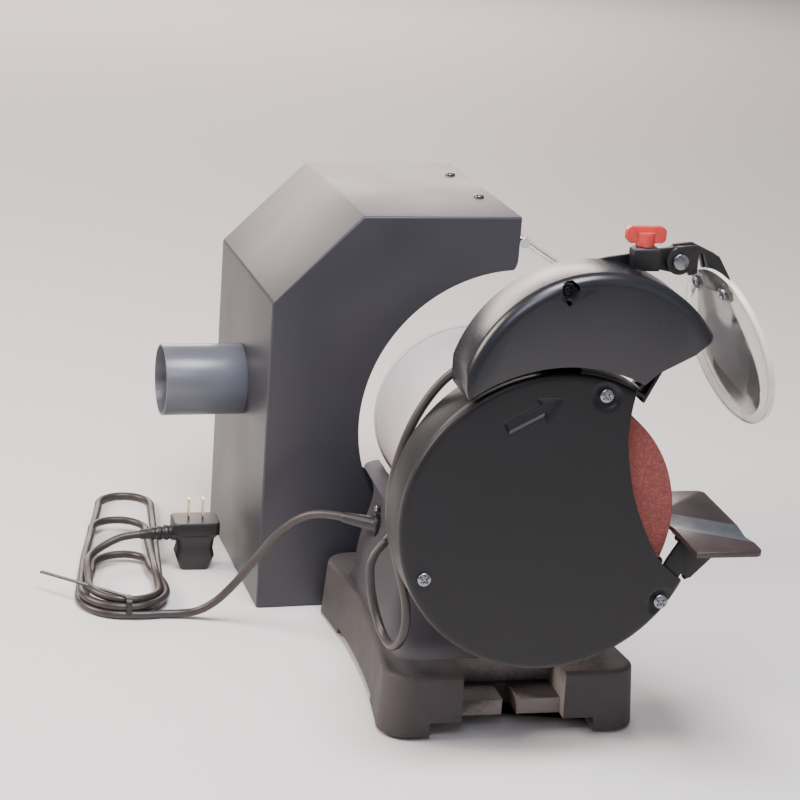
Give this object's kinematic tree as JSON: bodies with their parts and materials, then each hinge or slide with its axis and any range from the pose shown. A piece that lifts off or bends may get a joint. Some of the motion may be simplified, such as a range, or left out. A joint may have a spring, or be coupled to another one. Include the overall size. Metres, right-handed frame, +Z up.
{
  "type": "bench grinder with suction hood",
  "caption": "Bench grinder for a dental laboratory: motor on a cast pedestal, lit wheel guard and tilting eye shield at one end, sheet-metal suction hood with visor and duct spigot beyond.",
  "frame": {"origin": "on the table under the centre of the base casting", "axes": "+X to the operator's right along the spindle, towards the suction hood; -Y towards the operator; +Z up"},
  "size_m": [0.6344, 0.4917, 0.4133],
  "materials": {
    "base_iron": "rough dark casting",
    "pad_rubber": "matt",
    "pedestal_iron": "painted casting",
    "black_steel": "semi-gloss black",
    "motor_grey": "satin warm grey",
    "zinc": "zinc plated",
    "steel": "machined",
    "copper": "enamelled winding",
    "laminations": "dull",
    "abrasive": "coarse red-brown grit",
    "paper": "matt",
    "lamp_shell": "semi-gloss black",
    "lamp_glass": "clear",
    "clear_plastic": "clear",
    "red_plastic": "translucent red",
    "black_plastic": "satin",
    "rest_steel": "dark brown-black",
    "hood_paint": "satin charcoal",
    "duct_steel": "satin grey-blue",
    "chrome": "polished",
    "cord_pvc": "satin",
    "nickel": "nickel plated"
  },
  "bodies": {
    "stand": {"base_casting": "base_iron", "foot_pads": "pad_rubber", "pedestal": "pedestal_iron", "pedestal_bolts": "zinc", "pedestal_screws": "zinc", "switch_plate": "black_steel", "switch_body": "black_plastic", "cord_gland": "black_plastic", "lamp_cord_gland": "black_plastic", "motor_shell": "motor_grey", "stator_core": "laminations", "winding_ends": "copper", "end_bell_left": "motor_grey", "end_bell_right": "motor_grey", "through_bolts": "zinc", "bearings": "steel", "wheel_guard": "black_steel", "guard_bolts": "zinc", "guard_cover": "black_steel", "guard_screws": "zinc", "rest_bracket": "black_steel", "lamp_hood": "lamp_shell", "lamp_socket": "black_plastic", "lamp_bulb": "lamp_glass", "shield_bracket": "black_steel", "shield_clamp": "black_plastic", "pivot_bolt": "zinc", "hood_wrap": "hood_paint", "hood_side_near": "hood_paint", "hood_side_far": "hood_paint", "duct_collar": "duct_steel", "visor_brackets": "hood_paint", "visor_rod": "chrome", "hood_screws": "zinc", "lamp_cord": "cord_pvc", "power_cord": "cord_pvc", "cord_hank": "cord_pvc", "cable_tie": "black_plastic", "plug_body": "black_plastic", "plug_pins": "nickel", "plug_cord": "cord_pvc"},
    "spindle": {"spindle_shaft": "steel", "rotor": "laminations", "inner_flange": "steel", "grinding_wheel": "abrasive", "wheel_blotters": "paper", "outer_flange": "steel", "wheel_nut": "zinc", "polishing_nose": "steel"},
    "rocker": {"rocker_switch": "black_plastic"},
    "rest": {"tool_rest": "rest_steel", "rest_bolt": "zinc"},
    "spark_guard": {"spark_plate": "black_steel"},
    "knob": {"clamp_knob": "red_plastic"},
    "shield": {"shield_arm": "black_plastic", "eye_shield": "clear_plastic", "shield_lens": "clear_plastic", "shield_screws": "zinc"},
    "visor": {"visor": "clear_plastic", "visor_barrel": "chrome"}
  },
  "joints": [
    {"name": "spindle_spin", "type": "hinge", "parent": "stand", "child": "spindle", "pos_m": [0, 0, 0.197], "axis": [1, 0, 0], "continuous": true},
    {"name": "rocker_tilt", "type": "hinge", "parent": "stand", "child": "rocker", "pos_m": [0, -0.091, 0.1], "axis": [1, 0, 0], "range_deg": [0, 14]},
    {"name": "rest_slide", "type": "slide", "parent": "stand", "child": "rest", "axis": [0, -1, 0], "range_m": [0, 0.018]},
    {"name": "spark_plate_slide", "type": "slide", "parent": "stand", "child": "spark_guard", "axis": [0, 0.4321, -0.9018], "range_m": [0, 0.008]},
    {"name": "knob_turn", "type": "hinge", "parent": "stand", "child": "knob", "pos_m": [-0.149, -0.06, 0.405], "axis": [0, 0, 1], "continuous": true},
    {"name": "shield_tilt", "type": "hinge", "parent": "stand", "child": "shield", "pos_m": [-0.149, -0.086, 0.389], "axis": [1, 0, 0], "range_deg": [-75, 4]},
    {"name": "visor_tilt", "type": "hinge", "parent": "stand", "child": "visor", "pos_m": [0.24525, -0.05488, 0.327], "axis": [0.999, 0.045, 0], "range_deg": [-100, 55]}
  ]
}
